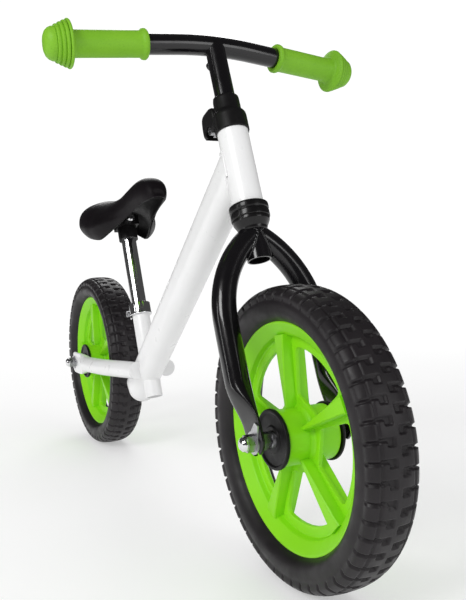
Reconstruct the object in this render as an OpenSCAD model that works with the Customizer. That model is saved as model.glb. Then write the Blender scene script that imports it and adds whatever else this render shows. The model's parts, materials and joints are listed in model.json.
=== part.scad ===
// Child's balance bike: steel frame and fork, moulded wheels with foam tyres.
// X points forward, Y to the rider's left, Z up. The origin is on the ground,
// midway between the two axles and in the middle plane. Millimetres.

/* [Overall] */
// Distance between the two axles
wheelbase = 648; // [600:1:680]
// Angle of the steering axis from the ground
head_angle = 70; // [68:0.5:72]
// Angle of the seat tube from the ground
seat_angle = 70; // [68:0.5:72]

/* [Wheels] */
// Outer diameter of the tyres
wheel_d = 290; // [280:1:300]
// Width of a tyre
tyre_w = 53; // [50:1:56]
// Outer diameter of a moulded rim
rim_d = 222; // [218:1:226]
// Width of a rim across its two faces
rim_w = 32; // [30:1:34]
// Number of spokes in a wheel
spoke_count = 5; // [4:1:7]
// Turn of the wheels that puts the first spoke past the top
spoke_turn = 10; // [0:1:72]
// Outer diameter of the hub barrel
hub_d = 54; // [50:1:56]
// Length of the hub barrel
hub_len = 58; // [54:1:60]
// Diameter of an axle
axle_d = 10; // [9:0.5:10]
// Distance between the inner faces of a pair of axle plates
axle_gap = 94; // [92:1:96]

/* [Frame] */
// Outer diameter of the head tube
head_tube_d = 34; // [34:0.5:36]
// Length of the head tube
head_tube_len = 88; // [84:1:92]
// Height of the down tube's oval section
down_tube_h = 50; // [46:1:54]
// Width of the down tube's oval section
down_tube_w = 37; // [34:1:40]
// Outer diameter of the seat tube
seat_tube_d = 25.4; // [25.4:0.1:26]
// Length of the seat tube
seat_tube_len = 142; // [138:1:146]
// Outer diameter of a chainstay
stay_d = 25; // [23:0.5:26]

/* [Fork and handlebar] */
// Outer diameter of the steerer
steerer_d = 25.4; // [25.4:0.1:26]
// Outer diameter of a fork leg
leg_d = 25; // [24:0.5:26]
// Distance from the steering axis to a fork leg's straight part
leg_y = 52; // [50:1:54]
// Distance from the steering axis forward to the axle
fork_offset = 8; // [6:0.5:10]
// Outer diameter of the handlebar and its stem
bar_d = 22.2; // [22:0.1:22.4]
// Half of the handlebar's length, out to the end of a grip
bar_half = 190; // [180:1:200]
// Backward sweep of each half of the handlebar
bar_sweep = 4.4; // [2:0.2:6]
// Downward slope of each half of the handlebar
bar_dip = 3.4; // [2:0.2:5]
// Length of a grip
grip_len = 110; // [105:1:115]

/* [Saddle] */
// Outer diameter of the seatpost
post_d = 22.2; // [22:0.1:22.4]
// Length of seatpost in sight between the seat tube and the saddle clamp
post_out = 104; // [80:1:110]
// Length of the saddle
saddle_len = 244; // [235:1:250]
// Width of the saddle at its wings
saddle_w = 124; // [118:1:130]

/* [Hidden] */

$fn = 64;
// Small overlap that keeps a cut clean
eps = 0.5;
// Clearance between pieces that move on each other without a fit
gap = 0.3;
// Radial clearance of a sliding or running fit
fit = 0.05;

frame_white = [0.9, 0.9, 0.9];
gloss_black = [0.06, 0.06, 0.07];
soft_black = [0.14, 0.13, 0.14];
wheel_green = [0.5, 0.78, 0.16];
grip_green = [0.6, 0.82, 0.3];
zinc = [0.75, 0.76, 0.78];

wheel_r = wheel_d / 2;
tube_wall = 1.6;
plate_t = 4;
plate_y = axle_gap / 2 + plate_t / 2;
front_x = wheelbase / 2;
rear_x = -wheelbase / 2;
mirror_sides = [-1, 1];

// Heights along the steering axis, from the point nearest the front axle
steerer_foot = 182;
crown_top = 213;
head_foot = 243;
head_top = head_foot + head_tube_len;
clamp_foot = head_top + 10;
clamp_h = 9;
cover_foot = head_top - 1.5;
cover_top = head_top + 41;
steerer_top = head_top + 37;
bar_height = head_top + 110;
stem_foot = bar_height - 178;

// Foot of the seat tube, in the middle plane
seat_foot_x = -73;
seat_foot_z = 118;
post_foot = seat_tube_len - 80;
clamp_seat_foot = seat_tube_len + post_out;
post_top = clamp_seat_foot + 20;

// Down tube: where its middle line meets the steering axis, its angle and its length
down_angle = 40;
down_top = 292;
down_len = 453;

// Chainstays: front end of the left one, how far it falls and flares, and its lengths
stay_front = [-79, 27, 158];
stay_fall = 3.2;
stay_flare = 6.8;
stay_len = 170;
stay_cone_len = 36;

// Puts children on the steering axis, with +Z up along it and +X forward
module steer_frame() {
    translate([front_x - fork_offset * sin(head_angle), 0, wheel_r - fork_offset * cos(head_angle)])
        rotate([0, head_angle - 90, 0])
            children();
}

// Puts children on the seat tube's axis, with +Z up along it
module seat_frame() {
    translate([seat_foot_x, 0, seat_foot_z])
        rotate([0, seat_angle - 90, 0])
            children();
}

// Puts children where the down tube's middle line meets the steering axis, with +Z down the tube
module down_frame() {
    steer_frame()
        translate([0, 0, down_top])
            rotate([0, 90 - head_angle, 0])
                rotate([0, -90 - down_angle, 0])
                    children();
}

// A round tube along Z from the origin
module tube(od, id, len) {
    difference() {
        cylinder(h = len, d = od);
        translate([0, 0, -eps])
            cylinder(h = len + 2 * eps, d = id);
    }
}

// A bar of oval section along Z, h across X and w across Y
module oval_bar(h, w, len) {
    side = (h - w) / 2;
    translate([-side, -w / 2, 0])
        cube([2 * side, w, len]);
    for (end = mirror_sides)
        translate([end * side, 0, 0])
            cylinder(h = len, d = w);
}

// A hexagon prism with the given distance across its flats
module hex(across, len) {
    cylinder(h = len, d = across / cos(30), $fn = 6);
}

// ---- Frame ----

module head_solid() {
    steer_frame()
        translate([0, 0, head_foot])
            cylinder(h = head_tube_len, d = head_tube_d);
}

module head_tube() {
    color(frame_white)
        steer_frame()
            translate([0, 0, head_foot])
                tube(head_tube_d, cup_insert_d, head_tube_len);
}

module seat_tube_solid() {
    seat_frame()
        cylinder(h = seat_tube_len, d = seat_tube_d);
}

module seat_tube() {
    slot_w = 2.5;
    slot_len = 32;
    color(frame_white)
        seat_frame()
            difference() {
                tube(seat_tube_d, post_d + 2 * fit, seat_tube_len);
                translate([-seat_tube_d, -slot_w / 2, seat_tube_len - slot_len])
                    cube([seat_tube_d, slot_w, slot_len + eps]);
            }
}

module down_tube_solid() {
    down_frame()
        oval_bar(down_tube_h, down_tube_w, down_len);
}

module down_tube() {
    color(frame_white)
        difference() {
            down_frame()
                difference() {
                    oval_bar(down_tube_h, down_tube_w, down_len);
                    translate([0, 0, -eps])
                        oval_bar(down_tube_h - 2 * tube_wall, down_tube_w - 2 * tube_wall, down_len + 2 * eps);
                }
            head_solid();
            steer_frame()
                translate([0, -down_tube_w, head_foot - head_tube_d])
                    cube([head_tube_d * 2, 2 * down_tube_w, head_tube_len + 2 * head_tube_d]);
            seat_tube_solid();
        }
}

// Plug that closes the down tube's lower end
module down_tube_plug() {
    rim = 3;
    depth = 16;
    proud = 1.2;
    color(frame_white)
        down_frame()
            translate([0, 0, down_len]) {
                oval_bar(down_tube_h + proud, down_tube_w + proud, rim);
                translate([0, 0, -depth])
                    oval_bar(down_tube_h - 2 * tube_wall - 1, down_tube_w - 2 * tube_wall - 1, depth);
            }
}

// Small screw under the down tube, just ahead of the seat tube
module junction_screw() {
    head_d = 8;
    head_h = 3;
    along = 392;
    color(frame_white)
        down_frame()
            translate([down_tube_h / 2, 0, along])
                rotate([0, 90, 0]) {
                    difference() {
                        cylinder(h = head_h, d = head_d);
                        translate([0, 0, head_h / 2])
                            hex(3, head_h);
                    }
                    translate([0, 0, -6])
                        cylinder(h = 6, d = 4);
                }
}

// Puts children at the front end of the left chainstay, +Z rearwards and +Y outwards
module stay_frame() {
    translate(stay_front)
        rotate([0, -90 - stay_fall, 0])
            rotate([-stay_flare, 0, 0])
                children();
}

// The stay's end: the tube closes in a cone, and a flat plate carries the axle
module stay_end() {
    height = 34;
    ahead = 60;
    behind = 6;
    stay_frame()
        translate([0, 0, stay_len])
            cylinder(h = stay_cone_len, d1 = stay_d, d2 = 2 * plate_t);
    translate([rear_x - behind, plate_y - plate_t / 2, wheel_r - height / 2])
        cube([ahead + behind, plate_t, height]);
}

// A chainstay is hollow behind its junction with the down tube, and vented underneath
module chainstay(side) {
    slot = axle_d + 0.4;
    hollow_start = 62;
    vent_d = 5;
    color(frame_white)
        mirror([0, side < 0 ? 1 : 0, 0])
            difference() {
                union() {
                    stay_frame()
                        cylinder(h = stay_len, d = stay_d);
                    stay_end();
                }
                stay_frame()
                    translate([0, 0, hollow_start]) {
                        cylinder(h = stay_len - hollow_start, d = stay_d - 2 * tube_wall);
                        translate([0, 0, vent_d])
                            rotate([0, 90, 0])
                                cylinder(h = stay_d, d = vent_d);
                    }
                translate([rear_x, plate_y - plate_t, wheel_r])
                    rotate([-90, 0, 0])
                        cylinder(h = 2 * plate_t, d = slot);
                translate([rear_x - 20, plate_y - plate_t, wheel_r - slot / 2])
                    cube([20, 2 * plate_t, slot]);
                down_tube_solid();
                seat_tube_solid();
            }
}

// ---- Seat clamp ----

// A split collar round Z with two ears behind it
module split_collar(od, id, h, ear_x, ear_w, bolt_d) {
    slot = 2.5;
    difference() {
        union() {
            cylinder(h = h, d = od);
            translate([-ear_x, -ear_w / 2, 0])
                cube([ear_x, ear_w, h]);
        }
        translate([0, 0, -eps])
            cylinder(h = h + 2 * eps, d = id);
        translate([-ear_x - eps, -slot / 2, -eps])
            cube([ear_x, slot, h + 2 * eps]);
        translate([-ear_x + bolt_d, ear_w, h / 2])
            rotate([90, 0, 0])
                cylinder(h = 2 * ear_w, d = bolt_d + 0.4);
    }
}

seat_clamp_od = 33;
seat_clamp_h = 18;
seat_ear_x = 26;
seat_ear_w = 17;
seat_bolt_d = 6;

module seat_clamp() {
    color(zinc)
        seat_frame()
            translate([0, 0, seat_tube_len - seat_clamp_h])
                split_collar(seat_clamp_od, seat_tube_d, seat_clamp_h, seat_ear_x, seat_ear_w, seat_bolt_d);
}

// A cap screw along +Y with its head at the origin's -Y side
module cap_screw(d, len) {
    head_d = 1.6 * d;
    rotate([-90, 0, 0])
        difference() {
            union() {
                cylinder(h = len, d = d);
                translate([0, 0, -d])
                    cylinder(h = d, d = head_d);
            }
            translate([0, 0, -d - eps])
                hex(0.8 * d, d / 2 + eps);
        }
}

// A nut round +Y, from the origin outwards
module plain_nut(across, bore, len) {
    rotate([-90, 0, 0])
        difference() {
            hex(across, len);
            translate([0, 0, -eps])
                cylinder(h = len + 2 * eps, d = bore);
        }
}

module at_seat_bolt() {
    seat_frame()
        translate([-seat_ear_x + seat_bolt_d, 0, seat_tube_len - seat_clamp_h / 2])
            children();
}

module seat_clamp_bolt() {
    color(zinc)
        at_seat_bolt()
            translate([0, -seat_ear_w / 2, 0])
                cap_screw(seat_bolt_d, seat_ear_w + 6);
}

module seat_clamp_nut() {
    color(zinc)
        at_seat_bolt()
            translate([0, seat_ear_w / 2, 0])
                plain_nut(10, seat_bolt_d, 5);
}

// ---- Headset ----

cup_insert_d = 30;
lower_cup_d = 42;
lower_ball_r = 2.4;
lower_pitch_r = 17;
lower_ball_z = head_foot - 13.5;
lower_ball_count = 16;
upper_cup_d = 33.5;
upper_ball_r = 1.9;
upper_pitch_r = 14.9;
upper_ball_z = head_top + 6.8;
upper_ball_count = 18;

// A ring of round section round the steering axis
module ring(pitch_r, section_r) {
    rotate_extrude()
        translate([pitch_r, 0])
            circle(r = section_r);
}

module ball_ring(count, pitch_r, ball_r) {
    for (i = [0 : count - 1])
        rotate([0, 0, i * 360 / count])
            translate([pitch_r, 0, 0])
                sphere(r = ball_r, $fn = 24);
}

module lower_cup() {
    groove_d = 40;
    shaft_d = steerer_d + 2;
    color(gloss_black)
        steer_frame()
            difference() {
                rotate_extrude()
                    polygon([
                        [shaft_d / 2, head_foot + 8], [shaft_d / 2, lower_ball_z],
                        [lower_cup_d / 2 - 0.6, lower_ball_z], [lower_cup_d / 2, lower_ball_z + 1],
                        [lower_cup_d / 2, lower_ball_z + 5], [groove_d / 2, lower_ball_z + 5.5],
                        [groove_d / 2, lower_ball_z + 7], [lower_cup_d / 2, lower_ball_z + 7.5],
                        [lower_cup_d / 2, head_foot - 1.2], [lower_cup_d / 2 - 1.2, head_foot],
                        [cup_insert_d / 2, head_foot], [cup_insert_d / 2, head_foot + 8]
                    ]);
                translate([0, 0, lower_ball_z])
                    ring(lower_pitch_r, lower_ball_r);
            }
}

module lower_balls() {
    color(zinc)
        steer_frame()
            translate([0, 0, lower_ball_z])
                ball_ring(lower_ball_count, lower_pitch_r, lower_ball_r);
}

// Cone ring that sits on the fork crown and carries the lower balls
module crown_race() {
    color(gloss_black)
        steer_frame()
            difference() {
                rotate_extrude()
                    polygon([
                        [steerer_d / 2, crown_top], [steerer_d / 2 + 1.2, crown_top],
                        [lower_cup_d / 2 - 3, lower_ball_z - 6], [lower_cup_d / 2 - 0.8, lower_ball_z - 3],
                        [lower_cup_d / 2 - 0.8, lower_ball_z - gap], [steerer_d / 2, lower_ball_z - gap]
                    ]);
                translate([0, 0, lower_ball_z])
                    ring(lower_pitch_r, lower_ball_r + gap);
            }
}

module upper_cup() {
    shaft_d = steerer_d + 2;
    color(gloss_black)
        steer_frame()
            difference() {
                rotate_extrude()
                    polygon([
                        [shaft_d / 2, head_top - 8], [cup_insert_d / 2, head_top - 8],
                        [cup_insert_d / 2, head_top], [upper_cup_d / 2, head_top],
                        [upper_cup_d / 2, upper_ball_z], [shaft_d / 2, upper_ball_z]
                    ]);
                translate([0, 0, upper_ball_z])
                    ring(upper_pitch_r, upper_ball_r);
            }
}

module upper_balls() {
    color(zinc)
        steer_frame()
            translate([0, 0, upper_ball_z])
                ball_ring(upper_ball_count, upper_pitch_r, upper_ball_r);
}

// Cone ring under the clamp that carries the upper balls
module upper_cone() {
    color(zinc)
        steer_frame()
            difference() {
                translate([0, 0, upper_ball_z + gap])
                    tube(upper_cup_d - 0.5, steerer_d, clamp_foot - upper_ball_z - gap);
                translate([0, 0, upper_ball_z])
                    ring(upper_pitch_r, upper_ball_r + gap);
            }
}

// ---- Fork ----

// The steerer: its lower end is open, and a slot behind its top lets the clamp close on the stem
module steerer() {
    slot_w = 2.5;
    slot_len = 30;
    color(gloss_black)
        steer_frame()
            difference() {
                translate([0, 0, steerer_foot])
                    tube(steerer_d, bar_d + 2 * fit, steerer_top - steerer_foot);
                translate([-steerer_d, -slot_w / 2, steerer_top - slot_len])
                    cube([steerer_d, slot_w, slot_len + eps]);
            }
}

leg_arc_r = 110;
leg_arc_z = 118;
leg_start = 56;
leg_flat_z = 44;

// An arc of a leg, from the crown down to its straight part
module leg_arc(d) {
    translate([0, leg_y - leg_arc_r, leg_arc_z])
        rotate([90, 0, 90])
            rotate_extrude(angle = leg_start)
                translate([leg_arc_r, 0])
                    circle(d = d);
}

module leg_outline() {
    leg_arc(leg_d);
    translate([0, leg_y, leg_flat_z])
        cylinder(h = leg_arc_z - leg_flat_z, d = leg_d);
    hull() {
        translate([0, leg_y, leg_flat_z])
            cylinder(h = 0.5, d = leg_d, $fn = 32);
        translate([fork_offset - 16, plate_y - plate_t / 2, 18])
            cube([32, plate_t, 2]);
    }
    hull() {
        translate([fork_offset - 16, plate_y - plate_t / 2, 18])
            cube([32, plate_t, 1]);
        translate([fork_offset, plate_y + plate_t / 2, 0])
            rotate([90, 0, 0])
                cylinder(h = plate_t, r = 13, $fn = 32);
    }
}

module fork_leg(side) {
    slot = axle_d + 0.4;
    color(gloss_black)
        steer_frame()
            difference() {
                mirror([0, side < 0 ? 1 : 0, 0])
                    difference() {
                        leg_outline();
                        leg_arc(leg_d - 2 * tube_wall);
                        translate([0, leg_y, leg_flat_z])
                            cylinder(h = leg_arc_z - leg_flat_z, d = leg_d - 2 * tube_wall);
                        translate([fork_offset, plate_y + plate_t, 0])
                            rotate([90, 0, 0])
                                cylinder(h = 2 * plate_t, d = slot);
                        translate([fork_offset - slot / 2, plate_y - plate_t, -20])
                            cube([slot, 2 * plate_t, 20]);
                    }
                translate([0, 0, steerer_foot - 20])
                    cylinder(h = 60, d = steerer_d);
                translate([0, 0, crown_top])
                    cylinder(h = 30, d = 2 * lower_cup_d);
            }
}

// ---- Handlebar clamp ----

bar_clamp_od = 33.4;
bar_ear_x = 31;
bar_ear_w = 15;
bar_bolt_d = 6;

module bar_clamp() {
    color(zinc)
        steer_frame()
            translate([0, 0, clamp_foot])
                split_collar(bar_clamp_od, steerer_d, clamp_h, bar_ear_x, bar_ear_w, bar_bolt_d);
}

module at_bar_bolt() {
    steer_frame()
        translate([-bar_ear_x + bar_bolt_d, 0, clamp_foot + clamp_h / 2])
            children();
}

module bar_clamp_bolt() {
    color(zinc)
        at_bar_bolt()
            translate([0, -bar_ear_w / 2, 0])
                cap_screw(bar_bolt_d, bar_ear_w + 5.5);
}

module bar_clamp_nut() {
    color(zinc)
        at_bar_bolt()
            translate([0, bar_ear_w / 2, 0])
                plain_nut(10, bar_bolt_d, 5);
}

bell_r = 18.8;
sleeve_r = 14.4;
cover_wall = 1.5;
lobe_x = 40;
lobe_w = 32;
lobe_foot = clamp_foot - 1;
lobe_top = clamp_foot + 29;

// Housing behind the cover for the clamp's ears, grown outwards by the given amount
module lobe(grow) {
    corner = 10;
    hull() {
        for (side = mirror_sides)
            translate([-lobe_x + corner, side * (lobe_w / 2 - corner), lobe_foot - grow])
                cylinder(h = lobe_top - lobe_foot - 12 + 2 * grow, r = corner + grow, $fn = 32);
        translate([-12, -lobe_w / 2 - grow, lobe_foot - grow])
            cube([8, lobe_w + 2 * grow, lobe_top - lobe_foot - 4 + 2 * grow]);
        translate([-12, -6, lobe_foot])
            cube([6, 12, lobe_top - lobe_foot + grow]);
    }
}

module clamp_cover() {
    color(soft_black)
        steer_frame()
            difference() {
                union() {
                    rotate_extrude()
                        polygon([
                            [0, cover_foot], [bell_r, cover_foot], [bell_r, cover_foot + 14],
                            [bell_r - 0.8, clamp_foot + clamp_h - 2], [bell_r - 2.4, clamp_foot + clamp_h + 1],
                            [sleeve_r, clamp_foot + clamp_h + 3.5], [sleeve_r, cover_top - 4],
                            [sleeve_r - 1, cover_top - 1.2], [sleeve_r - 2.6, cover_top], [0, cover_top]
                        ]);
                    lobe(0);
                }
                translate([0, 0, cover_foot - eps])
                    cylinder(h = clamp_foot + clamp_h + 0.5 - cover_foot + eps, r = bell_r - cover_wall);
                translate([0, 0, cover_foot])
                    cylinder(h = steerer_top + 0.5 - cover_foot, d = steerer_d);
                translate([0, 0, cover_foot])
                    cylinder(h = cover_top, d = bar_d + 2 * fit);
                lobe_hollow();
                lobe_windows();
            }
}

// Space in the housing for the clamp's ears, open below
module lobe_hollow() {
    translate([-lobe_x + 3, -lobe_w / 2 + 2, lobe_foot - eps])
        cube([lobe_x - 10, lobe_w - 4, clamp_h + 8]);
}

// Opening low on each side of the housing, where a key reaches the bolt
module lobe_windows() {
    translate([-bar_ear_x + bar_bolt_d, lobe_w, clamp_foot + clamp_h / 2 - 1])
        rotate([90, 0, 0])
            cylinder(h = 2 * lobe_w, r = 7);
}

// ---- Handlebar ----

stem_d = bar_d;
bar_wall = 1.8;
bend = sqrt(bar_sweep * bar_sweep + bar_dip * bar_dip);
bend_lean = atan2(bar_dip, bar_sweep);
bar_tip = bar_half - 9;

// Puts children at the middle of the bar, with its backward sweep towards -X
module bar_frame() {
    steer_frame()
        translate([0, 0, bar_height])
            rotate([0, -bend_lean, 0])
                children();
}

// Puts children on the axis of one half of the bar, +Z outwards from the middle
module half_frame(side) {
    bar_frame()
        rotate([0, 0, side * bend])
            rotate([-side * 90, 0, 0])
                children();
}

// The two halves of the bar, mitred in the middle plane
module bar_solid(d, reach) {
    for (side = mirror_sides)
        intersection() {
            half_frame(side)
                translate([0, 0, -d])
                    cylinder(h = reach + d, d = d);
            bar_frame()
                translate([-bar_half, side > 0 ? 0 : -2 * bar_half, -bar_half])
                    cube(2 * bar_half);
        }
}

module handlebar() {
    color(gloss_black)
        difference() {
            bar_solid(bar_d, bar_tip);
            bar_solid(bar_d - 2 * bar_wall, bar_tip + eps);
        }
}

module stem() {
    color(gloss_black)
        difference() {
            steer_frame()
                translate([0, 0, stem_foot])
                    tube(stem_d, stem_d - 4, bar_height - stem_foot);
            bar_solid(bar_d, bar_tip);
        }
}

// Small round boss welded behind the stem, just below the bar
module stem_boss() {
    boss_d = 13;
    below = 18;
    thread_d = 5;
    thread_len = 4.7;
    color(gloss_black)
        steer_frame()
            difference() {
                translate([-stem_d / 2 - 5, 0, bar_height - below])
                    rotate([0, 90, 0])
                        difference() {
                            cylinder(h = 12, d = boss_d);
                            translate([0, 0, -eps])
                                cylinder(h = thread_len + 2 * eps, d = thread_d);
                            translate([0, 0, thread_len])
                                cylinder(h = 12, d = thread_d + 3);
                        }
                translate([0, 0, bar_height - 2 * below])
                    cylinder(h = 2 * below, d = stem_d);
            }
}

grip_body_r = 14;
grip_flange_r = 25;
grip_bead_r = 16.4;

// Rubber grip with a stepped mushroom end, closed over the end of the bar
module grip(side) {
    foot = bar_half - grip_len;
    tip = bar_half;
    color(grip_green)
        half_frame(side)
            difference() {
                rotate_extrude()
                    polygon([
                        [0, foot], [grip_bead_r - 1, foot], [grip_bead_r, foot + 1.5],
                        [grip_bead_r, foot + 4], [grip_body_r, foot + 7], [grip_body_r, tip - 30],
                        [grip_flange_r - 2, tip - 27.5], [grip_flange_r, tip - 26],
                        [grip_flange_r, tip - 23.5], [22.6, tip - 22.4], [23, tip - 18.6],
                        [20.6, tip - 17.6], [21, tip - 14], [18.4, tip - 13], [18.6, tip - 9],
                        [17.4, tip - 5], [14.6, tip - 2], [10, tip - 0.5], [0, tip]
                    ]);
                translate([0, 0, foot - eps])
                    cylinder(h = bar_tip - foot + eps, d = bar_d);
            }
}

// ---- Seatpost and saddle ----

module seatpost() {
    color(zinc)
        seat_frame()
            translate([0, 0, post_foot])
                tube(post_d, post_d - 3, post_top - post_foot);
}

saddle_clamp_d = 29;
saddle_block = [34, 30, 16];
saddle_bolt_d = 8;
saddle_bolt_z = post_top + saddle_block.z / 2;

// Socket on the post and the block above it that holds the saddle's base
module saddle_clamp() {
    color(gloss_black)
        seat_frame()
            difference() {
                union() {
                    translate([0, 0, clamp_seat_foot])
                        cylinder(h = post_top - clamp_seat_foot, d = saddle_clamp_d);
                    translate([-saddle_block.x / 2, -saddle_block.y / 2, post_top])
                        cube(saddle_block);
                }
                translate([0, 0, clamp_seat_foot - eps])
                    cylinder(h = post_top - clamp_seat_foot + eps, d = post_d);
                translate([-saddle_block.x, 0, saddle_bolt_z])
                    rotate([0, 90, 0])
                        cylinder(h = 2 * saddle_block.x, d = saddle_bolt_d);
            }
}

module saddle_bolt() {
    color(zinc)
        seat_frame()
            translate([-saddle_block.x / 2, 0, saddle_bolt_z])
                rotate([0, 90, 0]) {
                    cylinder(h = saddle_block.x + 6, d = saddle_bolt_d);
                    translate([0, 0, -5])
                        hex(13, 5);
                }
}

module saddle_nut() {
    color(zinc)
        seat_frame()
            translate([saddle_block.x / 2, 0, saddle_bolt_z])
                rotate([0, 90, 0])
                    difference() {
                        union() {
                            hex(13, 6);
                            translate([0, 0, 6])
                                cylinder(h = 3, r1 = 5.6, r2 = 4);
                        }
                        translate([0, 0, -eps])
                            cylinder(h = 6 + eps, d = saddle_bolt_d);
                    }
}

// Saddle outline at stations along its length: place, half width, top and lower edge
saddle_tail_x = -264;
saddle_half = saddle_w / 2;
saddle_shape = [
    [0.00, 0.10, 396, 386], [0.03, 0.52, 402, 371], [0.10, 0.86, 408, 361], [0.20, 1.00, 410, 354],
    [0.32, 0.96, 407, 352], [0.44, 0.78, 404, 358], [0.58, 0.58, 406, 370], [0.72, 0.45, 416, 383],
    [0.84, 0.39, 428, 394], [0.93, 0.31, 433, 401], [0.98, 0.19, 429, 406], [1.00, 0.06, 421, 411]
];
saddle_steps = 14;
saddle_droop = 32;

// Points of one station's section: over the top, then back along the lower edge
function saddle_section(s, inset, drop) =
    let (
        w = max(s[1] * saddle_half - inset, 0.4),
        top = s[2] - inset,
        low = s[3] - drop,
        mid = low + 0.36 * (s[2] - s[3]),
        x = saddle_tail_x + s[0] * saddle_len + (0.5 - s[0]) * 2 * inset
    )
    [for (i = [0 : saddle_steps])
        let (
            a = -saddle_droop + i * (180 + 2 * saddle_droop) / saddle_steps,
            rise = sin(a) > 0 ? (top - mid) * sin(a) : (mid - low) * sin(a) / sin(saddle_droop)
        )
        [x, w * cos(a), mid + rise]];

// A closed solid lofted through the stations
module saddle_loft(inset, drop) {
    rows = [for (s = saddle_shape) saddle_section(s, inset, drop)];
    n = saddle_steps + 1;
    last = len(rows) - 1;
    points = [for (row = rows) for (p = row) p];
    sides = [for (r = [0 : last - 1]) for (i = [0 : n - 1])
        [(r + 1) * n + i, (r + 1) * n + (i + 1) % n, r * n + (i + 1) % n, r * n + i]];
    polyhedron(
        points = points,
        faces = concat([[for (i = [0 : n - 1]) i]], [[for (i = [n - 1 : -1 : 0]) last * n + i]], sides),
        convexity = 6
    );
}

pad_t = 9;
base_t = 3;

// Foam pad with its skin, over the base
module saddle_pad() {
    color(soft_black)
        difference() {
            saddle_loft(0, 0);
            saddle_loft(pad_t, 1);
        }
}

// Moulded plastic base, hollow below
module saddle_base() {
    color(soft_black)
        difference() {
            saddle_loft(pad_t + gap, 1);
            saddle_loft(pad_t + gap + base_t, 4);
        }
}

// ---- Wheels ----

bearing_od = 26;
bearing_w = 8;
cap_d = 58;
cap_t = 4;

// Puts children at an axle, with +Z along the axle towards the rider's right
module at_axle(x) {
    translate([x, 0, wheel_r])
        rotate([90, 0, 0])
            children();
}

// Rounded ends, mirrored to both ends of the axle
module both_ends() {
    for (side = [0, 1])
        mirror([0, 0, side])
            children();
}

// Moulded rim: a channel with two face rings and a web between them, spokes and a hub barrel
module rim(x) {
    rim_r = rim_d / 2;
    face_t = 11;
    web_r = 86;
    web_t = 5;
    flange_t = 4;
    spoke_w = 15;
    rib_w = 6;
    color(wheel_green)
        at_axle(x)
            difference() {
                union() {
                    rotate_extrude($fn = 96)
                        polygon([
                            [rim_r, -rim_w / 2], [rim_r, rim_w / 2], [rim_r - face_t, rim_w / 2],
                            [rim_r - face_t - 2, web_t / 2], [web_r, web_t / 2],
                            [web_r, -web_t / 2], [rim_r - face_t - 2, -web_t / 2],
                            [rim_r - face_t, -rim_w / 2]
                        ]);
                    translate([0, 0, -hub_len / 2])
                        cylinder(h = hub_len, d = hub_d);
                    for (i = [0 : spoke_count - 1])
                        rotate([0, 0, 90 + spoke_turn + i * 360 / spoke_count]) {
                            translate([hub_d / 2 - 3, -spoke_w / 2, -flange_t / 2])
                                cube([web_r + 7 - hub_d / 2, spoke_w, flange_t]);
                            translate([hub_d / 2 - 3, -rib_w / 2, -rim_w / 2 + 2])
                                cube([rim_r - face_t + 2 - hub_d / 2, rib_w, rim_w - 4]);
                        }
                }
                translate([0, 0, -hub_len])
                    cylinder(h = 2 * hub_len, d = bearing_od - 6);
                both_ends()
                    translate([0, 0, hub_len / 2 - bearing_w])
                        cylinder(h = bearing_w + eps, d = bearing_od);
            }
}

// Foam tyre, one solid ring
module tyre(x) {
    rim_r = rim_d / 2;
    half = tyre_w / 2;
    color(soft_black)
        at_axle(x)
            rotate_extrude($fn = 120)
                polygon([
                    [rim_r, -rim_w / 2 - 1], [rim_r + 5, -half + 2.5], [rim_r + 13, -half],
                    [wheel_r - 11, -half + 0.6], [wheel_r - 4.5, -half + 6], [wheel_r - 1.2, -half + 14],
                    [wheel_r, -half + 20], [wheel_r, half - 20],
                    [wheel_r - 1.2, half - 14], [wheel_r - 4.5, half - 6], [wheel_r - 11, half - 0.6],
                    [rim_r + 13, half], [rim_r + 5, half - 2.5], [rim_r, rim_w / 2 + 1]
                ]);
}

// Black discs that close the two ends of the hub
module hub_caps(x) {
    color(soft_black)
        at_axle(x)
            both_ends()
                translate([0, 0, hub_len / 2])
                    rotate_extrude()
                        polygon([
                            [11, 0], [cap_d / 2, 0], [cap_d / 2, cap_t - 1], [cap_d / 2 - 1, cap_t],
                            [cap_d / 2 - 3, cap_t], [cap_d / 2 - 4, cap_t - 1.2], [14, cap_t - 1.2],
                            [11, cap_t - 1.2]
                        ]);
}

// Ball bearings in the hub's two ends
module bearings(x) {
    color(zinc)
        at_axle(x)
            both_ends()
                translate([0, 0, hub_len / 2 - bearing_w])
                    tube(bearing_od, axle_d + 2 * fit, bearing_w);
}

// Sleeve on the axle between the two bearings
module spacer(x) {
    color(zinc)
        at_axle(x)
            translate([0, 0, -(hub_len / 2 - bearing_w - gap)])
                tube(axle_d + 4, axle_d, 2 * (hub_len / 2 - bearing_w - gap));
}

axle_half = axle_gap / 2 + plate_t + 11;

module axle(x) {
    color(zinc)
        at_axle(x)
            translate([0, 0, -axle_half])
                cylinder(h = 2 * axle_half, d = axle_d);
}

// Cones that hold the bearings' inner rings, and the distance sleeves out to the axle plates
module cones(x) {
    start = hub_len / 2 + gap;
    color(zinc)
        at_axle(x)
            both_ends()
                difference() {
                    union() {
                        translate([0, 0, start])
                            cylinder(h = 6, r1 = 9, r2 = 8);
                        translate([0, 0, start + 6])
                            hex(15, axle_gap / 2 - start - 6);
                    }
                    translate([0, 0, -eps])
                        cylinder(h = axle_gap, d = axle_d);
                }
}

washer_t = 1.6;
nut_t = 8;

// Washers outside the axle plates, each with a pointed tab
module tab_washers(x, angle) {
    color(zinc)
        at_axle(x)
            rotate([0, 0, angle])
                both_ends()
                    translate([0, 0, axle_gap / 2 + plate_t])
                        difference() {
                            linear_extrude(height = washer_t)
                                union() {
                                    circle(r = 11);
                                    polygon([[-7, 8], [7, 8], [3, 20], [-3, 20]]);
                                }
                            translate([0, 0, -eps])
                                cylinder(h = 2 * washer_t, d = axle_d);
                        }
}

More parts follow.
